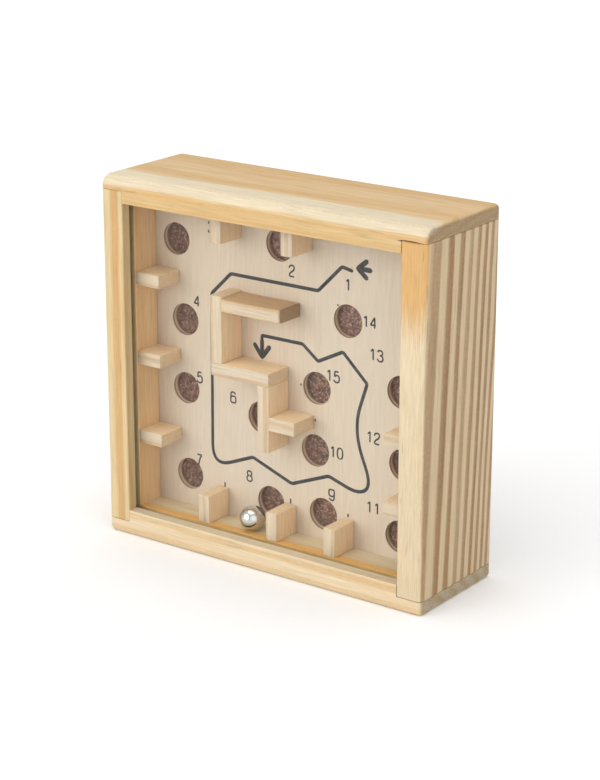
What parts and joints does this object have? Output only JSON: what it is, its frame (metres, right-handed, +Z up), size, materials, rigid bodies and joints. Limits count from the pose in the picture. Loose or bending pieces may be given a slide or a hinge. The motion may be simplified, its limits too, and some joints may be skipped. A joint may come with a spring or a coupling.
{
  "type": "tilt maze game",
  "caption": "Small square pine box with a clear cover, a drilled board with glued wall strips and a steel ball that rolls between them; held in the hands and tilted.",
  "frame": {"origin": "on the floor under the middle of the box, standing on its bottom rail", "axes": "+Z up, the clear cover faces -Y, +X to the right as seen from the front"},
  "size_m": [0.1, 0.0324, 0.0975],
  "materials": {
    "pine_rail": "sanded, clear matt oil",
    "pine_wall": "planed, unfinished",
    "plywood": "sanded veneer with dark printing",
    "hardboard": "pressed fibre, speckled",
    "clear_plastic": "clear, polished",
    "steel": "polished"
  },
  "bodies": {
    "maze_box": {"top_rail": "pine_rail", "bottom_rail": "pine_rail", "left_rail": "pine_rail", "right_rail": "pine_rail", "clear_cover": "clear_plastic", "maze_board": "plywood", "back_panel": "hardboard", "left_wall_1": "pine_wall", "left_wall_2": "pine_wall", "left_wall_3": "pine_wall", "right_wall_1": "pine_wall", "right_wall_2": "pine_wall", "top_wall_1": "pine_wall", "top_wall_2": "pine_wall", "bottom_wall_1": "pine_wall", "bottom_wall_2": "pine_wall", "bottom_wall_3": "pine_wall", "upright_wall": "pine_wall", "arm_wall": "pine_wall", "shelf_wall": "pine_wall", "hanging_wall": "pine_wall", "branch_wall": "pine_wall"},
    "ball": {"steel_ball": "steel"}
  },
  "joints": [
    {"name": "ball_roll", "type": "slide", "parent": "maze_box", "child": "ball", "axis": [1, 0, 0], "range_m": [-0.00846, 0.00313]}
  ]
}
